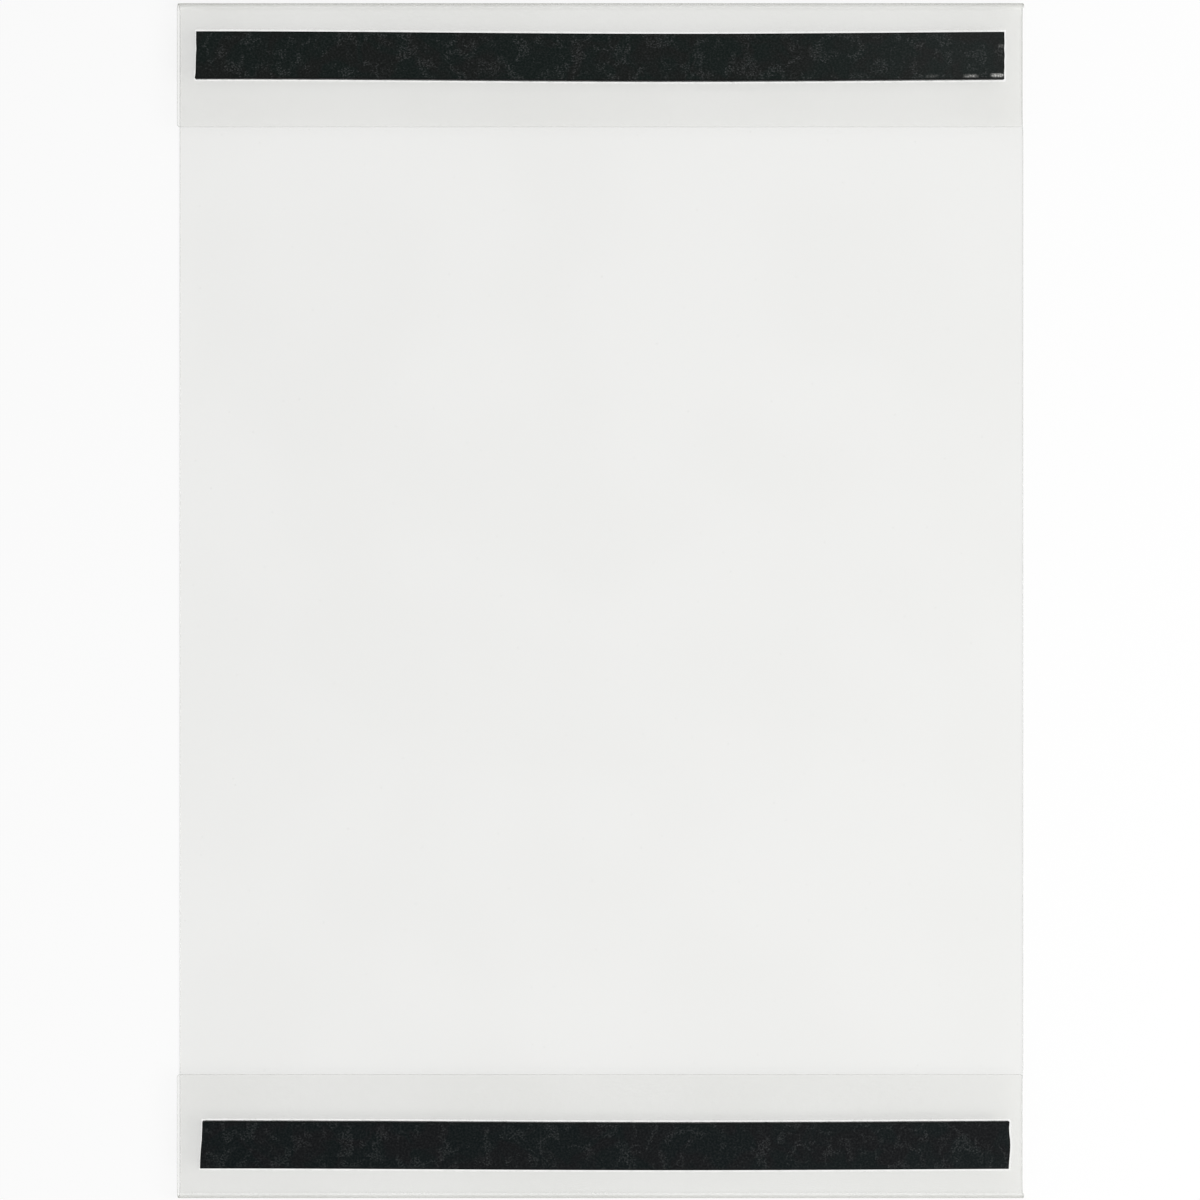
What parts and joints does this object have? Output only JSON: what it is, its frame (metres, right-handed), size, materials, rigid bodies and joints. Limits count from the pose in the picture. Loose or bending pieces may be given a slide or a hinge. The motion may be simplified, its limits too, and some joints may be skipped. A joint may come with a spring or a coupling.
{
  "type": "magnetic document pocket",
  "caption": "Clear film pocket for an A4 sheet, folded over at top and bottom into flaps that each carry a black magnetic strip, lying face down.",
  "frame": {"origin": "middle of the front panel's outer face, on the surface that the pocket lies on", "axes": "+X across the pocket, +Y towards its top fold, +Z from the front panel up to the magnetic strips"},
  "size_m": [0.22, 0.311, 0.0065],
  "materials": {
    "clear_film": "clear stiff plastic film, slightly hazy, smooth",
    "magnetic_rubber": "black magnetic rubber, dull, lightly mottled",
    "clear_tape": "clear double-sided adhesive tape"
  },
  "bodies": {
    "root": {"cover_sheet": "clear_film", "top_magnetic_strip": "magnetic_rubber", "bottom_magnetic_strip": "magnetic_rubber", "top_adhesive_tape": "clear_tape", "bottom_adhesive_tape": "clear_tape"}
  },
  "joints": []
}
